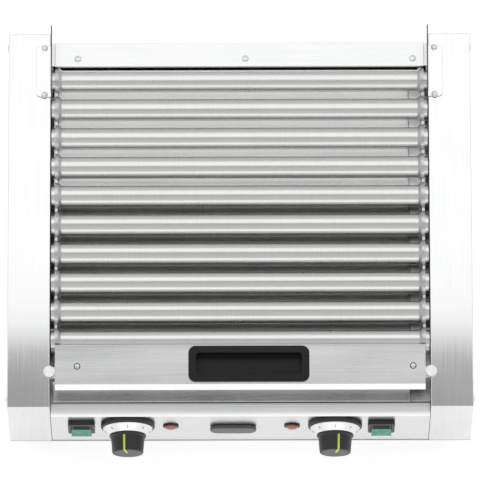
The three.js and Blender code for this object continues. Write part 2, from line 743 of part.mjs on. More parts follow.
function lamp(x) {
  return turnOut([
    [0, -lampBarrelLength], [lampBarrelRadius, -lampBarrelLength], [lampBarrelRadius, gap],
    [lampRadius, gap], [lampRadius, 1.2], [lampLensRadius, 1.8],
    [lampLensRadius * 0.8, lampProud * 0.75], [lampLensRadius * 0.4, lampProud], [0, lampProud],
  ], smallSides, x, panelY, lampZ);
}

sideNames.forEach((word, i) => {
  addPiece(`switch_frame_${word}`, switchBody(switchX[i]), 'blackPlastic');
  addPiece(`switch_rocker_${word}`, rocker(switchX[i]), 'green');
  addPiece(`lamp_${word}`, lamp(lampX[i]), 'amber');
});

const badgeX = controlsCentreX + badgeOffsetX;
addPiece('badge', pushY(roundedRectangle(badgeX - badgeWidth / 2, badgeX + badgeWidth / 2,
  badgeZ - badgeHeight / 2, badgeZ + badgeHeight / 2,
  badgeHeight / 2 - 0.5), panelY - gap - badgeThickness, panelY - gap, 4), 'badgeGrey');

// ---- Drip tray ----------------------------------------------------------------------------
function dripTray() {
  const y0 = trayFrontY;
  const y1 = trayRearY;
  const top = trayZ + trayRimHeight;
  const pan = block(trayLeftX, trayRightX, y0, y1, trayZ, top);
  const hollow = block(trayLeftX + trayFloorSheet, trayRightX - trayFloorSheet,
    y0 + trayFloorSheet, y1 - trayFloorSheet, trayZ + trayFloorSheet, top + 1);
  const lowFront = block(trayLeftX - 1, trayRightX + 1, y0 - 1, y0 + trayFloorSheet + 1,
    trayZ + trayRimHeight * 0.4, top + 1);
  const hanger = block(trayLeftX, trayRightX, hangerY, hangerY + sheet,
    trayZ, coverZ - sheet - gap);
  return combine(toGeometry(toSolid(pan).subtract(toSolid(hollow)).subtract(toSolid(lowFront))),
    [hanger]);
}

function trayCover() {
  const half = innerX - coverEndClearance;
  const y0 = coverFrontY;
  const y1 = coverRearY;
  const plate = pushX(foldedSheet([
    [y0 - coverLip, coverZ - coverLip], [y0, coverZ], [y1 - coverBackFlare, coverZ],
    [y1, coverZ + coverBackRise],
  ], -sheet), -half, half);
  const earEnd = innerX - gap;
  const ears = [-1, 1].map((side) => {
    const [x0, x1] = side < 0 ? [-earEnd, -half + 2] : [half - 2, earEnd];
    return block(x0, x1, studY - earDepth / 2, studY + earDepth / 2, coverZ - sheet, coverZ);
  });
  const opening = pushZ(roundedRectangle(
    pullCentreX - cupWidth / 2 - gap, pullCentreX + cupWidth / 2 + gap,
    cupFrontY - gap, cupRearY + gap, cupCornerRadius), coverZ - 3 * sheet, coverZ + sheet, 5);
  return combine(plate, ears, [opening]);
}

function trayPull() {
  const pullWidth = cupWidth + 2 * cupSideRim;
  const z = coverZ + gap;
  const flange = pushZ(roundedRectangle(pullCentreX - pullWidth / 2, pullCentreX + pullWidth / 2,
    pullFrontY, pullRearY, pullCornerRadius), z, z + pullFlange, 4);
  const cup = pushZ(roundedRectangle(pullCentreX - cupWidth / 2, pullCentreX + cupWidth / 2,
    cupFrontY, cupRearY, cupCornerRadius), coverZ - cupFloorDrop, z + 0.2, 5);
  const room = pushZ(roundedRectangle(
    pullCentreX - cupWidth / 2 + cupWall, pullCentreX + cupWidth / 2 - cupWall,
    cupFrontY + cupWall, cupRearY - cupWall, cupCornerRadius - cupWall),
    coverZ - cupFloorDrop + cupWall, z + pullFlange + 1, 5);
  return combine(flange, [cup], [room]);
}

// Fluted nylon thumb stud: its stem stands on the cover plate's ear, its rim rests on the tower.
function trayStud(side) {
  const x = side * (innerX + studOverhang);
  const outline = new THREE.Shape();
  const steps = studFlutes * 3;
  for (let i = 0; i < steps; i += 1) {
    const angle = 2 * Math.PI * i / steps;
    const radius = studRadius - studFluteDepth * (1 + Math.cos(angle * studFlutes)) / 2;
    const point = [x + radius * Math.cos(angle), studY + radius * Math.sin(angle)];
    if (i === 0) outline.moveTo(...point);
    else outline.lineTo(...point);
  }
  outline.closePath();
  const under = towerTop + gap;
  const stem = turnZ([[0, coverZ + gap], [studStemRadius, coverZ + gap], [studStemRadius, under + 1],
    [0, under + 1]], smallSides, side * (innerX - stemInset), studY, 0);
  return combine(pushZ(outline, under, under + studThickness), [stem]);
}

addPiece('drip_tray', dripTray(), 'steel');
addPiece('tray_cover', trayCover(), 'steel');
addPiece('tray_pull', trayPull(), 'blackPlastic');
addPiece('tray_stud_left', trayStud(-1), 'nylon');
addPiece('tray_stud_right', trayStud(1), 'nylon');

// Rails carry the tray: a plain angle on one side, a boxed one that fills the other side.
function trayRail(side) {
  const y0 = panelY + panelBandRun + panelLedge + gap;
  const y1 = trayRearY - 4;
  const under = trayZ - gap;
  const wall = side * (wallX - gap);
  const trayEdge = side < 0 ? trayLeftX : trayRightX;
  const reach = trayEdge - side * railWidth;
  const [x0, x1] = [Math.min(wall, reach), Math.max(wall, reach)];
  const shelf = block(x0, x1, y0 + gap, y1, under - railSheet, under);
  const flange = side < 0
    ? block(x0, x0 + railSheet, y0 + gap, y1, under - railSheet - railWidth, under)
    : block(x1 - railSheet, x1, y0 + gap, y1, under - railSheet - railWidth, under);
  if (side < 0) return combine(shelf, [flange]);
  const filler = block(trayEdge + 1, x1, y0 + gap, y1, under - 0.5, under + sideBoxHeight);
  return combine(shelf, [flange, filler]);
}

addPiece('tray_rail_left', trayRail(-1), 'steel');
addPiece('tray_rail_right', trayRail(1), 'steel');

export default grill;
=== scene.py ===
import math

import bmesh
import bpy
from mathutils import Matrix, Vector


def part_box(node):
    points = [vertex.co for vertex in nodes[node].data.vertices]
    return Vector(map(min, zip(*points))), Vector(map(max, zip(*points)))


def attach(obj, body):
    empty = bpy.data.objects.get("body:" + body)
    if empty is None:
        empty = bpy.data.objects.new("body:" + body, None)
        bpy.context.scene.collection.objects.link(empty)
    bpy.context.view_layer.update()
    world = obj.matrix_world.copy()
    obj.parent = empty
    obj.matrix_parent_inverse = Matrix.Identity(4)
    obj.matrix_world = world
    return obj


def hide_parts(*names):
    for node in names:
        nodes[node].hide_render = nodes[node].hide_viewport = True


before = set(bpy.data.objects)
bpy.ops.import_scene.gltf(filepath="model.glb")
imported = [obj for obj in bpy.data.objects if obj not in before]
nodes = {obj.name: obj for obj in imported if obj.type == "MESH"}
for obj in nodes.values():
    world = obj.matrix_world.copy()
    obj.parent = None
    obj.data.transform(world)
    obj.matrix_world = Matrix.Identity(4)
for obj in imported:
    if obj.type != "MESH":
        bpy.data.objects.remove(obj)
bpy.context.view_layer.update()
scene = bpy.context.scene
MM = 0.001

# Fixed sizes of the grill, in millimetres.
TUBE_END = 211.9
NECK = 6.5
NECK_BORE = 4.6
TOWER_TOP = 175.0
FRONT_Y = -209.6
SHIELD_INNER = 204.5
SHIELD_RIM = 15.9
COVER_TOP = 173.2
BAR_TOP = 174.0
PANEL_FACE = -209.0
SCREW_SEAT = 260.3
SPROCKET_BAND = (223.3, 227.3)
BAR_SCREWS = (-182.0, 6.6, 195.0)
COVER_SCREWS = {"left": -182.0, "right": 193.0}
SIDES = (("left", -1), ("right", 1))


def place_camera():
    """A long lens from high in front, 73.5 degrees above the worktop."""
    height = math.radians(73.5)
    target = Vector((0.00012, -0.01556, 0.175))
    back = Vector((0, -math.cos(height), math.sin(height)))
    right = Vector((1, 0, 0))
    up = back.cross(right)
    roll = Matrix.Rotation(math.radians(-0.142), 4, "Z")
    turn = Matrix((right, up, back)).transposed().to_4x4() @ roll
    lens = bpy.data.cameras.new("camera")
    lens.lens = 634.4
    lens.sensor_width = 36.0
    lens.clip_end = 60.0
    camera = bpy.data.objects.new("camera", lens)
    camera.matrix_world = Matrix.Translation(target + back * 9.4736) @ turn
    scene.collection.objects.link(camera)
    scene.camera = camera


place_camera()


# ---- Materials ----------------------------------------------------------------------------
def linear(code):
    """An sRGB hex colour as linear red, green, blue and alpha."""
    channels = [int(code[i:i + 2], 16) / 255 for i in (1, 3, 5)]
    return [c / 12.92 if c <= 0.04045 else ((c + 0.055) / 1.055) ** 2.4 for c in channels] + [1.0]


def add(tree, kind, links=(), **settings):
    """Adds a node, with its own properties or socket values, and its incoming links."""
    made = tree.nodes.new("ShaderNode" + kind)
    for key, value in settings.items():
        if hasattr(made, key):
            setattr(made, key, value)
        else:
            made.inputs[key.replace("_", " ")].default_value = value
    for socket, source in links:
        tree.links.new(source, made.inputs[socket])
    return made


def surface(name, cell_mm, colours, roughness, relief_mm, patch_mm=70.0, **shader):
    """A finish with one fine pattern, whose cell is given in millimetres along X, Y and Z, over
    broad patches. The pattern shades the colour, the roughness and the relief."""
    material = bpy.data.materials.new(name)
    material.use_nodes = True
    tree = material.node_tree
    tree.nodes.clear()
    place = add(tree, "TexCoord").outputs["Object"]
    fine_place = add(tree, "Mapping", [("Vector", place)], Scale=[1 / (c * MM) for c in cell_mm])
    fine = add(tree, "TexNoise", [("Vector", fine_place.outputs[0])], Scale=1.0, Detail=4.0)
    patch_place = add(tree, "Mapping", [("Vector", place)], Scale=[1 / (patch_mm * MM)] * 3)
    patch = add(tree, "TexNoise", [("Vector", patch_place.outputs[0])], Scale=1.0, Detail=3.0)
    both = add(tree, "Mix", [(2, fine.outputs[0]), (3, patch.outputs[0])], Factor=0.35)
    colour = add(tree, "ValToRGB", [("Fac", both.outputs[0])])
    colour.color_ramp.elements[0].position = 0.3
    colour.color_ramp.elements[0].color = linear(colours[0])
    colour.color_ramp.elements[1].position = 0.7
    colour.color_ramp.elements[1].color = linear(colours[1])
    polish = add(tree, "MapRange", [("Value", both.outputs[0])], From_Min=0.3, From_Max=0.7,
                 To_Min=roughness[0], To_Max=roughness[1])
    relief = add(tree, "Bump", [("Height", fine.outputs[0])], Strength=1.0, Distance=relief_mm * MM)
    bsdf = add(tree, "BsdfPrincipled", [
        ("Base Color", colour.outputs[0]), ("Roughness", polish.outputs[0]),
        ("Normal", relief.outputs[0])], **shader)
    add(tree, "OutputMaterial", [("Surface", bsdf.outputs[0])])
    return material


# Brushed 304 stainless sheet: long fine scratches from an abrasive belt, which draw a soft
# streak across every reflection. Real scratches are 0.1 mm apart; here they are 0.9 mm.
steel_along_y = surface("brushed_stainless_lengthwise", (0.9, 90, 90), ("#d6d7d7", "#e2e2e2"),
                        (0.1, 0.17), 0.003, Metallic=1.0)
steel_along_x = surface("brushed_stainless_crosswise", (90, 0.9, 0.9), ("#d6d7d7", "#e2e2e2"),
                        (0.24, 0.32), 0.0022, Metallic=1.0)
# Mill-finish stainless of the parts nobody polishes: greyer, with a cloudy rolled surface.
mill_steel = surface("mill_finish_stainless", (6, 6, 6), ("#b9babb", "#cfd0d0"),
                     (0.3, 0.42), 0.004, Metallic=1.0)
# The sheared edge of a guard blade, left as the guillotine cut it: torn and dull; its dark grey is
# painted shade, standing for the shadow and dark reflection along the blade's edge.
painted_shade_edge = surface("stainless_edge_painted_shade", (0.8, 0.8, 2.5), ("#4e5052", "#75777a"),
                       (0.45, 0.62), 0.015, patch_mm=14.0, Metallic=1.0)
# Centreless-ground stainless tube: bright, a little straw from the heat, with faint rings
# round it. Real rings are a fraction of a millimetre apart; here they are 1.2 mm.
ground_tube = surface("ground_stainless_tube", (1.2, 60, 60), ("#d2d1cf", "#d8d8d7"),
                      (0.27, 0.29), 0.0001, patch_mm=60.0, Metallic=1.0)
# Oiled carbon steel of the chain, sprocket and gear motor: dark, patchy, half dull.
oiled_steel = surface("oiled_carbon_steel", (2, 2, 2), ("#3a3b3d", "#5c5f63"),
                      (0.35, 0.6), 0.01, patch_mm=12.0, Metallic=0.9)
# Heater sheath steel, browned in bands by its own heat.
heater_sheath = surface("browned_heater_sheath", (8, 1.5, 1.5), ("#5a5048", "#7b746c"),
                        (0.45, 0.65), 0.01, patch_mm=30.0, Metallic=0.8)
# Zinc-plated screws: bluish grey, faintly grained.
zinc_plate = surface("zinc_plated_steel", (0.7, 0.7, 0.7), ("#d2d5d8", "#e6e8ea"),
                     (0.2, 0.3), 0.003, patch_mm=5.0, Metallic=1.0)
# Moulded ABS with a fine spark-eroded grain: near black, satin, with no clear reflections.
black_abs = surface("grained_black_abs", (1.1, 1.1, 1.1), ("#161617", "#232325"),
                    (0.38, 0.5), 0.012, patch_mm=18.0, IOR=1.54)
# The pull is smoother ABS: it mirrors its rims and shows fine rub marks along X.
smooth_abs = surface("smooth_black_abs", (20, 0.9, 0.9), ("#101011", "#19191a"),
                     (0.26, 0.36), 0.003, patch_mm=30.0, IOR=1.54,
                     Specular_IOR_Level=0.25)
# The end faces of the knobs read dark grey, with a finer even grain.
grey_abs = surface("grained_grey_abs", (0.9, 0.9, 0.9), ("#3a3a3b", "#4a4a4b"),
                   (0.4, 0.52), 0.01, patch_mm=15.0, IOR=1.54)
# Nitrile rubber feet: matt, dusty in broad patches.
nitrile = surface("nitrile_rubber", (1.4, 1.4, 1.4), ("#131314", "#222223"),
                  (0.7, 0.88), 0.03, patch_mm=14.0, IOR=1.52)
# Green polycarbonate rocker lens: clear-ish plastic over a pale reflector, so it is lighter
# where it is thin, with a glossy skin.
green_lens = surface("green_polycarbonate", (5, 5, 5), ("#1c7556", "#4fa688"),
                     (0.1, 0.18), 0.004, patch_mm=12.0, IOR=1.58,
                     Coat_Weight=0.6, Coat_Roughness=0.05)
# Amber polycarbonate lamp lens: deep orange-brown, with a glossy skin.
amber_lens = surface("amber_polycarbonate", (3, 3, 3), ("#843c20", "#b3653c"),
                     (0.08, 0.15), 0.004, patch_mm=9.0, IOR=1.58,
                     Coat_Weight=0.6, Coat_Roughness=0.04)
# Satin-anodised aluminium dial: silver, with a fine even grain.
anodised_dial = surface("satin_anodised_aluminium", (1.0, 1.0, 1.0), ("#dedfdf", "#f0f0f0"),
                        (0.28, 0.38), 0.003, patch_mm=14.0, Metallic=0.7)
# White nylon 6 studs: slightly translucent and waxy.
white_nylon = surface("white_nylon", (1.5, 1.5, 1.5), ("#ececea", "#f8f8f6"),
                      (0.4, 0.52), 0.01, patch_mm=10.0, IOR=1.53, Subsurface_Weight=0.1,
                      Subsurface_Scale=0.001)
# Badge: dark grey painted ABS with a finely pebbled face.
badge_paint = surface("dark_grey_painted_abs", (0.9, 0.9, 0.9), ("#434446", "#58595b"),
                      (0.34, 0.46), 0.006, patch_mm=16.0, IOR=1.5)
# Pad-printed ink of the pointer lines and dial marks.
lime_ink = surface("lime_pad_print", (0.8, 0.8, 0.8), ("#b9cb3c", "#d3e264"),
                   (0.45, 0.55), 0.003, patch_mm=6.0, IOR=1.5)
dark_ink = surface("grey_pad_print", (0.8, 0.8, 0.8), ("#6c6d6f", "#85878a"),
                   (0.45, 0.6), 0.003, patch_mm=6.0, IOR=1.5)


# ---- Shapes -------------------------------------------------------------------------------
def eased(profile, radius, steps=3):
    """The profile's corners, each replaced by a short curve of about the given radius."""
    points = [Vector(p) for p in profile]
    out = [points[0]]
    for before, corner, after in zip(points, points[1:], points[2:]):
        into = min(radius, (corner - before).length * 0.45)
        away = min(radius, (after - corner).length * 0.45)
        start = corner + (before - corner).normalized() * into
        end = corner + (after - corner).normalized() * away
        for i in range(steps + 1):
            t = i / steps
            out.append(start * (1 - t) ** 2 + corner * 2 * t * (1 - t) + end * t ** 2)
    out.append(points[-1])
    return out


AXES = {
    "x": Matrix.Rotation(math.radians(90), 4, "Y"),
    "-x": Matrix.Rotation(math.radians(-90), 4, "Y"),
    "-y": Matrix.Rotation(math.radians(90), 4, "X"),
    "y": Matrix.Rotation(math.radians(-90), 4, "X"),
    "z": Matrix.Identity(4),
}


def turned(profile, axis, centre, steps=64):
    """A profile of (radius, distance) points in millimetres, spun round an axis."""
    shape = bmesh.new()
    verts = [shape.verts.new((r * MM, 0, d * MM)) for r, d in profile]
    edges = [shape.edges.new(pair) for pair in zip(verts, verts[1:])]
    bmesh.ops.spin(shape, geom=verts + edges, cent=(0, 0, 0), axis=(0, 0, 1),
                   angle=math.tau, steps=steps, use_merge=True)
    bmesh.ops.remove_doubles(shape, verts=shape.verts, dist=1e-6)
    place = Matrix.Translation(Vector(centre) * MM) @ AXES[axis]
    bmesh.ops.transform(shape, matrix=place, verts=shape.verts)
    return shape


def joined(shapes):
    """Several shapes as one, in the first."""
    first = shapes[0]
    for other in shapes[1:]:
        mesh = bpy.data.meshes.new("joining")
        other.to_mesh(mesh)
        other.free()
        first.from_mesh(mesh)
        bpy.data.meshes.remove(mesh)
    return first


def bar(low, high, bevel=0.0, segments=2):
    """A bevelled bar between two corners, in millimetres."""
    shape = bmesh.new()
    bmesh.ops.create_cube(shape, size=1.0)
    size = Vector(high) - Vector(low)
    middle = (Vector(high) + Vector(low)) / 2
    bmesh.ops.scale(shape, vec=size * MM, verts=shape.verts)
    bmesh.ops.translate(shape, vec=middle * MM, verts=shape.verts)
    if bevel:
        bmesh.ops.bevel(shape, geom=shape.edges, offset=bevel * MM, segments=segments,
                        profile=0.5, affect="EDGES", material=-1)
    return shape


def make_piece(name, shape, material, body, slot, *stands_for, sharp=38.0):
    """Turns a shape into a piece that rides a body, in the given material. The slot is not used."""
    bmesh.ops.remove_doubles(shape, verts=shape.verts, dist=1e-6)
    bmesh.ops.recalc_face_normals(shape, faces=shape.faces)
    for face in shape.faces:
        face.smooth = True
    for edge in shape.edges:
        edge.smooth = edge.calc_face_angle(0.0) < math.radians(sharp)
    mesh = bpy.data.meshes.new(name)
    shape.to_mesh(mesh)
    shape.free()
    mesh.materials.append(material)
    made = bpy.data.objects.new(name, mesh)
    scene.collection.objects.link(made)
    even = made.modifiers.new("even_normals", "WEIGHTED_NORMAL")
    even.keep_sharp = True
    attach(made, body)
    if stands_for:
        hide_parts(*stands_for)
    return made


def from_node(node):
    """A merged copy of a frame node, with its flat faces whole."""
    shape = bmesh.new()
    shape.from_mesh(nodes[node].data)
    bmesh.ops.remove_doubles(shape, verts=shape.verts, dist=2e-6)
    bmesh.ops.dissolve_limit(shape, angle_limit=math.radians(0.5), verts=shape.verts,
                             edges=shape.edges)
    return shape


def round_edges(shape, width, segments=3, pick=None, angle=50.0):
    """Bevels the shape's hard edges, or those that pick() chooses."""
    hard = [e for e in shape.edges if len(e.link_faces) == 2
            and e.calc_face_angle(0.0) > math.radians(angle) and (pick is None or pick(e))]
    bmesh.ops.bevel(shape, geom=hard, offset=width * MM, segments=segments, profile=0.5,
                    affect="EDGES", material=-1, clamp_overlap=True)
    return shape


def outer_edges(node):
    """Chooses the edges along the corners of a node's own box."""
    low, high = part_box(node)

    def on_corner(edge):
        count = 0
        for i in range(3):
            for limit in (low[i], high[i]):
                if all(abs(v.co[i] - limit) < 2e-5 for v in edge.verts):
                    count += 1
        return count >= 2
    return on_corner


def screw_head(centre, axis, radius, height):
    """A pan-head screw with a cross recess."""
    head = turned([
        (0, height * 0.45), (radius * 0.2, height * 0.5), (radius * 0.26, height),
        (radius * 0.6, height * 0.94), (radius * 0.88, height * 0.68), (radius, height * 0.25),
        (radius, 0), (0, 0)], "z", (0, 0, 0), 32)
    for v in head.verts:
        reach = math.hypot(v.co.x, v.co.y) / MM
        if 0.01 < reach < radius * 0.4:
            angle = math.atan2(v.co.y, v.co.x)
            grow = 0.55 + 1.5 * abs(math.cos(2 * angle)) ** 4
            v.co.x *= grow
            v.co.y *= grow
    place = Matrix.Translation(Vector(centre) * MM) @ AXES[axis]
    bmesh.ops.transform(head, matrix=place, verts=head.verts)
    return head


# ---- Towers -------------------------------------------------------------------------------
def towers():
    for word, side in SIDES:
        node = f"{word}_tower_cover"
        shape = round_edges(from_node(node), 1.5, 4, outer_edges(node))
        make_piece(f"{word}_tower_shell", shape, steel_along_y, "frame", "brushed_steel", node)
        for end in ("front", "rear"):
            screw = f"{word}_side_screw_{end}"
            low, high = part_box(screw)
            centre = (low + high) / 2 / MM
            seat = (SCREW_SEAT * side, centre.y, centre.z)
            axis = "x" if side > 0 else "-x"
            head = screw_head(seat, axis, 5.0, 1.6)
            shank = turned(eased([(0, -8), (2, -8), (2, 0.2), (0, 0.2)], 0.3), axis, seat, 20)
            make_piece(f"{word}_case_screw_{end}", joined([head, shank]), zinc_plate, "frame",
                       "brushed_steel", screw)


towers()


# ---- Rollers and shields ------------------------------------------------------------------
def sprocket(y, z, x0, x1):
    """The toothed wheel on a roller's driven neck."""
    shape = bmesh.new()
    bmesh.ops.create_circle(shape, cap_ends=False, segments=44, radius=9.4 * MM)
    rim = list(shape.verts)
    for v in rim:
        step = round(math.atan2(v.co.y, v.co.x) / math.tau * 44) % 4
        shrink = (1.0, 0.93, 0.81, 0.93)[step]
        v.co *= shrink
    bmesh.ops.create_circle(shape, cap_ends=False, segments=44, radius=5.6 * MM)
    bmesh.ops.bridge_loops(shape, edges=shape.edges)
    flat = list(shape.faces)
    raised = bmesh.ops.extrude_face_region(shape, geom=flat)["geom"]
    top = [g for g in raised if isinstance(g, bmesh.types.BMVert)]
    bmesh.ops.translate(shape, vec=(0, 0, (x1 - x0) * MM), verts=top)
    place = Matrix.Translation(Vector((x0, y, z)) * MM) @ AXES["x"]
    bmesh.ops.transform(shape, matrix=place, verts=shape.verts)
    return shape


def rollers():
    for i in range(1, 11):
        node = f"roller_{i:02d}"
        low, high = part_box(node)
        left, right = low.x / MM, high.x / MM
        y = (low.y + high.y) / 2 / MM
        z = (low.z + high.z) / 2 / MM
        radius = (high.z - low.z) / 2 / MM
        profile = eased([
            (NECK_BORE, left), (NECK, left), (NECK, -TUBE_END), (radius, -TUBE_END),
            (radius, TUBE_END), (NECK, TUBE_END), (NECK, right), (NECK_BORE, right),
            (NECK_BORE, left)], 0.8, 3)
        tube = turned(profile, "x", (0, y, z), 72)
        make_piece(f"tube_{i:02d}", tube, ground_tube, node, "roller_steel", node)
        wheel = sprocket(y, z, *SPROCKET_BAND)
        make_piece(f"tube_sprocket_{i:02d}", wheel, oiled_steel, node, "dark_steel")


def keep(shape, axis, limit, below):
    """Cuts a shape at a plane and closes the cut, keeping the part below or above it."""
    normal = Vector((0, 0, 0))
    normal[axis] = 1.0
    point = Vector((0, 0, 0))
    point[axis] = limit * MM
    bmesh.ops.bisect_plane(shape, geom=shape.verts[:] + shape.edges[:] + shape.faces[:],
                           plane_co=point, plane_no=normal, clear_outer=below,
                           clear_inner=not below)
    rim = [e for e in shape.edges if e.is_boundary]
    bmesh.ops.holes_fill(shape, edges=rim, sides=0)
    return shape


def shield_rim(side, y, z):
    """The cone round one roller, from the shield's rim down towards the tube."""
    return turned(eased([
        (12.8, SHIELD_INNER - 0.05), (12.8, 200.6), (13.1, 200.3),
        (SHIELD_RIM, SHIELD_INNER - 0.8), (SHIELD_RIM, SHIELD_INNER - 0.05),
        (12.8, SHIELD_INNER - 0.05)], 0.2, 2), "x" if side > 0 else "-x", (0, y, z), 48)


def shields():
    for word, side in SIDES:
        node = f"{word}_end_shield"
        make_piece(f"{word}_shield_plate", round_edges(from_node(node), 0.4, 2), mill_steel,
                   "frame", "brushed_steel", node)
        for i in range(1, 11):
            low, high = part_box(f"roller_{i:02d}")
            y = (low.y + high.y) / 2 / MM
            z = (low.z + high.z) / 2 / MM
            if i == 1:
                rim = keep(shield_rim(side, y, z), 1, 188.5, True)
            elif i == 10:
                rear = keep(shield_rim(side, y, z), 1, y - 5.6, False)
                front = keep(shield_rim(side, y, z), 1, y - 5.6, True)
                rim = joined([rear, keep(front, 2, 170.8, True)])
            else:
                rim = shield_rim(side, y, z)
            make_piece(f"{word}_shield_rim_{i:02d}", rim, mill_steel, "frame", "brushed_steel")


rollers()
shields()


# ---- Rear bar, brackets, back -------------------------------------------------------------
def rear_end():
    make_piece("rear_bar_sheet", round_edges(from_node("rear_bar"), 0.55), steel_along_x,
               "frame", "brushed_steel", "rear_bar")
    for i, x in enumerate(BAR_SCREWS):
        head = screw_head((x, FRONT_Y + 407.4, BAR_TOP), "z", 3.8, 1.6)
        make_piece(f"rear_bar_screw_{i + 1}", head, zinc_plate, "frame", "brushed_steel")
    for word, side in SIDES:
        node = f"guard_bracket_{word}"
        low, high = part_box(node)
        made = make_piece(f"bracket_{word}", round_edges(from_node(node), 0.5), steel_along_y,
                          "frame", "brushed_steel", node)
        made.data.materials.append(painted_shade_edge)
        # Painted shade: the bracket's faces above its foot that don't face sideways take the dark
        # edge finish.
        for face in made.data.polygons:
            if face.center.z > low.z + 3.0 * MM and abs(face.normal.x) < 0.75:
                face.material_index = 1
        for end, y in (("front", low.y / MM + 2.4), ("rear", low.y / MM + 57.6)):
            head = screw_head((side * 219.5, y, TOWER_TOP + 1.9), "z", 3.6, 2.0)
            make_piece(f"bracket_screw_{end}_{word}", head, zinc_plate, "frame", "brushed_steel")
    low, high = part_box("rear_bar")
    for word, side in SIDES:
        ends = sorted((side * 208.2, side * 212.3))
        lug = bar((ends[0], low.y / MM + 0.6, BAR_TOP - 1.6),
                  (ends[1], high.y / MM - 0.6, BAR_TOP - 0.4), 0.2)
        make_piece(f"bar_end_lug_{word}", lug, steel_along_x, "frame", "brushed_steel")
    low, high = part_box("back_panel")
    for word, side in SIDES:
        for level, z in (("low", 46.0), ("high", 140.0)):
            head = screw_head((side * 200.0, high.y / MM, z), "y", 3.5, 2.0)
            make_piece(f"back_screw_{level}_{word}", head, zinc_plate, "frame", "brushed_steel")


rear_end()


# ---- Feet and gland -----------------------------------------------------------------------
def feet():
    for end in ("front", "rear"):
        for word, _ in SIDES:
            node = f"foot_{end}_{word}"
            low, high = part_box(node)
            centre = (low + high) / 2 / MM
            profile = eased([
                (0, 0), (6, 0), (6, 1.2), (8, 1.2), (8, 0), (16.6, 0), (17, 2.4), (16.4, 9),
                (15.6, 12), (15.1, 31.7), (0, 31.7)], 0.8)
            foot = turned(profile, "z", (centre.x, centre.y, 0), 48)
            make_piece(f"rubber_{node}", foot, nitrile, "frame", "rubber", node)
    low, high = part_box("cable_gland")
    centre = (low + high) / 2 / MM
    rear = 227.4
    body = turned(eased([
        (4, -6), (8, -6), (8, 0.3), (11, 0.3), (11, 3.3), (9, 3.3), (9, 11.3), (6, 16.3), (4, 16.3),
        (4, -6)], 0.6), "y", (centre.x, rear, centre.z), 36)
    make_piece("gland_body", body, black_abs, "frame", "black_plastic", "cable_gland")


feet()


# ---- Control panel ------------------------------------------------------------------------
def turned_round(shape, centre, angle):
    """Turns a shape about the line along Y through a centre given in millimetres."""
    place = Vector(centre) * MM
    turn = Matrix.Translation(place) @ Matrix.Rotation(angle, 4, "Y") @ Matrix.Translation(-place)
    bmesh.ops.transform(shape, matrix=turn, verts=shape.verts)
    return shape


def dial_marks(x, y, z):
    """Short printed marks on the dial's cone, every 45 degrees."""
    shapes = []
    for i in range(7):
        tick = bar((x - 0.35, -0.15, -1.4), (x + 0.35, 0.15, 1.4))
        lean = Matrix.Rotation(math.atan2(6.6, 7.9) - math.radians(90), 4, "X")
        bmesh.ops.transform(tick, matrix=lean, verts=tick.verts)
        bmesh.ops.translate(tick, vec=Vector((0, y - 9.6, z + 24.75)) * MM, verts=tick.verts)
        shapes.append(turned_round(tick, (x, y, z), math.radians(-135 + 45 * i)))
    return joined(shapes)


def controls():
    make_piece("front_panel", round_edges(from_node("control_panel"), 0.5), steel_along_x,
               "frame", "brushed_steel", "control_panel")
    for word, side in SIDES:
        low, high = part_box(f"knob_{word}")
        x = (low.x + high.x) / 2 / MM
        z = (low.z + high.z) / 2 / MM
        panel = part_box(f"dial_base_{word}")[1].y / MM + 0.3
        base = turned(eased([(4.6, 0.3), (30.3, 0.3), (30.3, 4.7), (4.6, 4.7), (4.6, 0.3)], 1.0),
                      "-y", (x, panel, z), 80)
        make_piece(f"dial_ring_{word}", base, black_abs, "frame", "black_plastic",
                   f"dial_base_{word}")
        cone = turned(eased([(5.1, 5.0), (27.8, 5.0), (27.8, 5.8), (21.2, 13.4), (5.1, 13.4),
                             (5.1, 5.0)], 0.5), "-y", (x, panel, z), 80)
        make_piece(f"dial_cone_{word}", cone, anodised_dial, "frame", "dial_silver",
                   f"dial_scale_{word}")
        make_piece(f"dial_marks_{word}", dial_marks(x, panel, z), dark_ink, "frame", "dial_silver")
        front = 34.3
        grip = turned(eased([
            (4.8, 13.7), (20.6, 13.7), (20.6, 15.7), (18.8, 16.4), (17.5, front - 1.2),
            (17.0, front), (0, front), (0, 23.1), (4.8, 23.1), (4.8, 13.7)], 0.9, 4),
            "-y", (x, panel, z), 96)
        make_piece(f"knob_grip_{word}", grip, black_abs, f"knob_{word}", "black_plastic",
                   f"knob_{word}")
        disc = turned(eased([(0, front - 0.3), (15.8, front - 0.3), (15.8, front + 0.15),
                             (0, front + 0.15)], 0.15, 2), "-y", (x, panel, z), 72)
        make_piece(f"knob_face_{word}", disc, grey_abs, f"knob_{word}", "black_plastic")
        line = bar((x - 1.1, panel - front + 0.2, z + 17.0), (x + 1.1, panel - 17.0, z + 18.2))
        for v in line.verts:
            along = (panel - 17.0 - v.co.y / MM) / (front - 17.2)
            v.co.z += (0.75 - 1.3 * along) * MM
        face_line = bar((x - 1.1, panel - front - 0.35, z + 3.0),
                        (x + 1.1, panel - front + 0.2, z + 17.3))
        pointer = turned_round(joined([line, face_line]), (x, panel, z), math.radians(12 * side))
        make_piece(f"knob_pointer_{word}", pointer, lime_ink, f"knob_{word}", "black_plastic")


controls()


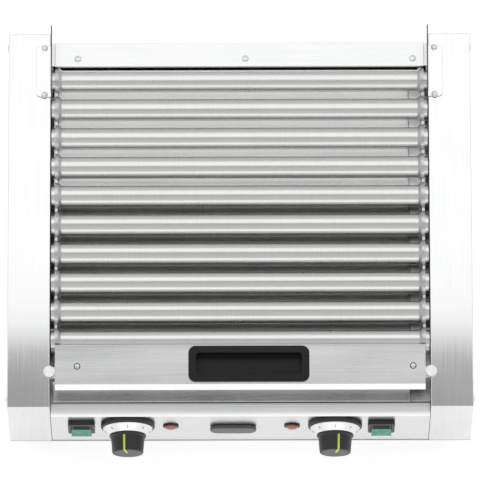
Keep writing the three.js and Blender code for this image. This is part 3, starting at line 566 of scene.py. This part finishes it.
def switches_and_lamps():
    for word, _ in SIDES:
        frame_node = f"switch_frame_{word}"
        make_piece(f"switch_bezel_{word}", round_edges(from_node(frame_node), 0.7), black_abs,
                   "frame", "black_plastic", frame_node)
        node = f"switch_rocker_{word}"
        low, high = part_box(node)
        middle = (low.z + high.z) / 2 / MM
        upper = keep(from_node(node), 2, middle + 0.2, False)
        lower = keep(from_node(node), 2, middle - 0.2, True)
        make_piece(f"rocker_lens_{word}", round_edges(lower, 0.6), green_lens,
                   f"rocker_{word}", "green_lens", node)
        # Painted shade: the rocker's upper half, ribs and all, is near-black, standing for the
        # bezel's shadow over the green rocker; the lower half is the green lens.
        ribs = [round_edges(upper, 0.5)]
        for i in range(5):
            z = middle + 2.2 + 2.0 * i
            y = PANEL_FACE - 5.5 + 0.9 * i / 5
            ribs.append(bar((low.x / MM + 2, y - 0.35, z - 0.45),
                            (high.x / MM - 2, y + 0.9, z + 0.45), 0.2))
        make_piece(f"rocker_shaded_half_{word}", joined(ribs), black_abs, f"rocker_{word}",
                   "black_plastic", node)
        lamp = f"lamp_{word}"
        low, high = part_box(lamp)
        x = (low.x + high.x) / 2 / MM
        z = (low.z + high.z) / 2 / MM
        bezel = turned(eased([
            (6.9, 0.3), (8.9, 0.3), (8.9, 1.6), (8.2, 2.2), (7.3, 1.9), (6.9, 1.0), (6.9, 0.3)],
            0.3), "-y", (x, PANEL_FACE, z), 56)
        make_piece(f"lamp_bezel_{word}", bezel, black_abs, "frame", "black_plastic")
        dome = [(7.2 * math.cos(a), 1.2 + 3.9 * math.sin(a)) for a in
                [math.pi / 2 * i / 10 for i in range(10)]]
        lens = turned([(0, -14), (5.6, -14), (5.6, 0.5), (7.2, 0.5)] + dome + [(0, 5.1)],
                      "-y", (x, PANEL_FACE, z), 56)
        make_piece(f"lamp_lens_{word}", lens, amber_lens, "frame", "amber_lens", lamp)


switches_and_lamps()
make_piece("badge_plate", round_edges(from_node("badge"), 1.2, 4), badge_paint, "frame",
           "badge_grey", "badge")


# ---- Tray ---------------------------------------------------------------------------------
def tray():
    make_piece("tray_pan", round_edges(from_node("drip_tray"), 0.35, 2), steel_along_x, "tray",
               "brushed_steel", "drip_tray")
    make_piece("cover_sheet", round_edges(from_node("tray_cover"), 0.5), steel_along_x, "tray",
               "brushed_steel", "tray_cover")
    make_piece("pull_moulding", round_edges(from_node("tray_pull"), 0.7, 4), smooth_abs, "tray",
               "black_plastic", "tray_pull")
    for word, _ in SIDES:
        node = f"tray_stud_{word}"
        make_piece(f"nylon_stud_{word}", round_edges(from_node(node), 0.8, 3), white_nylon, "tray",
                   "white_nylon", node)
        x = COVER_SCREWS[word]
        head = screw_head((x, FRONT_Y + 48, COVER_TOP), "z", 2.8, 1.0)
        make_piece(f"cover_screw_{word}", head, zinc_plate, "tray", "brushed_steel")
        # Painted shade: a thin dark ring round the foot of each cover screw head stands for the
        # shadow round the head.
        seat = turned(eased([(2.7, 0), (3.7, 0), (3.7, 0.25), (2.7, 0.35), (2.7, 0)], 0.08, 2), "z",
                      (x, FRONT_Y + 48, COVER_TOP), 32)
        make_piece(f"cover_screw_shade_ring_{word}", seat, oiled_steel, "tray", "brushed_steel")


tray()

# Frame nodes that keep their own shape.
KEPT = {
    "left_inner_wall": mill_steel, "right_inner_wall": mill_steel, "drive_chain": oiled_steel,
    "motor_sprocket": oiled_steel, "gear_motor": oiled_steel, "heater_rack": heater_sheath,
    "base_pan": mill_steel, "back_panel": steel_along_x, "thermostat_left": oiled_steel,
    "thermostat_right": oiled_steel, "tray_rail_left": mill_steel, "tray_rail_right": mill_steel,
}
for name, material in KEPT.items():
    nodes[name].data.materials.clear()
    nodes[name].data.materials.append(material)


# ---- Floor and light ----------------------------------------------------------------------
def floor():
    shape = bmesh.new()
    bmesh.ops.create_grid(shape, x_segments=2, y_segments=2, size=8.0)
    mesh = bpy.data.meshes.new("floor")
    shape.to_mesh(mesh)
    shape.free()
    made = bpy.data.objects.new("floor", mesh)
    scene.collection.objects.link(made)
    # Pale seamless paper, which glows a little so that it stays even.
    paper = surface("pale_backdrop_paper", (3, 3, 3), ("#c6c6c6", "#cdcdcd"), (0.8, 0.9), 0.002,
                    patch_mm=200.0, Emission_Color=(1, 1, 1, 1), Emission_Strength=0.61)
    mesh.materials.append(paper)


def softbox(name, centre, target, size, power):
    """A rectangular softbox: size is its width along X and its other side, in metres."""
    light = bpy.data.lights.new(name, "AREA")
    light.shape = "RECTANGLE"
    light.size, light.size_y = size
    light.energy = power
    made = bpy.data.objects.new(name, light)
    facing = (Vector(centre) - Vector(target)).normalized()
    across = Vector((1, 0, 0))
    along = facing.cross(across)
    turn = Matrix((across, along, facing)).transposed().to_4x4()
    made.matrix_world = Matrix.Translation(centre) @ turn
    made.visible_camera = False
    scene.collection.objects.link(made)


def grey_card(low, high, height, strength):
    """A card that shades the reflections of the front of the grill, and nothing else."""
    shape = bmesh.new()
    bmesh.ops.create_grid(shape, x_segments=1, y_segments=1, size=1.0)
    middle = (Vector(low) + Vector(high)) / 2
    half = (Vector(high) - Vector(low)) / 2
    bmesh.ops.scale(shape, vec=(half.x, half.y, 1), verts=shape.verts)
    bmesh.ops.translate(shape, vec=(middle.x, middle.y, height), verts=shape.verts)
    mesh = bpy.data.meshes.new("grey_card")
    shape.to_mesh(mesh)
    shape.free()
    # Grey felt, lit evenly.
    mesh.materials.append(surface("grey_felt", (4, 4, 4), ("#101010", "#141414"), (0.9, 1.0), 0.01,
                                  Emission_Color=(1, 1, 1, 1), Emission_Strength=strength))
    made = bpy.data.objects.new("grey_card", mesh)
    scene.collection.objects.link(made)
    made.visible_camera = False
    made.visible_diffuse = False
    made.visible_transmission = False
    made.visible_shadow = False


floor()
softbox("overhead_softbox", (0, 0.392, 0.975), (0, 0.392, 0), (3.0, 0.60), 3.75)
softbox("rear_strip", (0, 1.05, 1.20), (0, 0, 0.16), (3.0, 0.16), 1.5)
softbox("front_softbox", (0, -1.6, 0.72), (0, 0, 0.16), (3.0, 0.80), 6.2)
# Two small fills inside the grill lighten the base pan and the back of the rear roller.
softbox("under_roller_fill", (0, 0.12, 0.1474), (0, 0.12, 0), (0.418, 0.14), 0.095)
softbox("behind_roller_fill", (0, 0.1985, 0.160), (0, 0.166, 0.160), (0.41, 0.016), 0.018)
grey_card((-1.5, -0.13), (1.5, 0.091), 0.975, 0.42)

world = bpy.data.worlds.new("studio")
world.use_nodes = True
world.node_tree.nodes["Background"].inputs["Color"].default_value = (1, 1, 1, 1)
world.node_tree.nodes["Background"].inputs["Strength"].default_value = 0.72
scene.world = world
scene.view_settings.view_transform = "Standard"
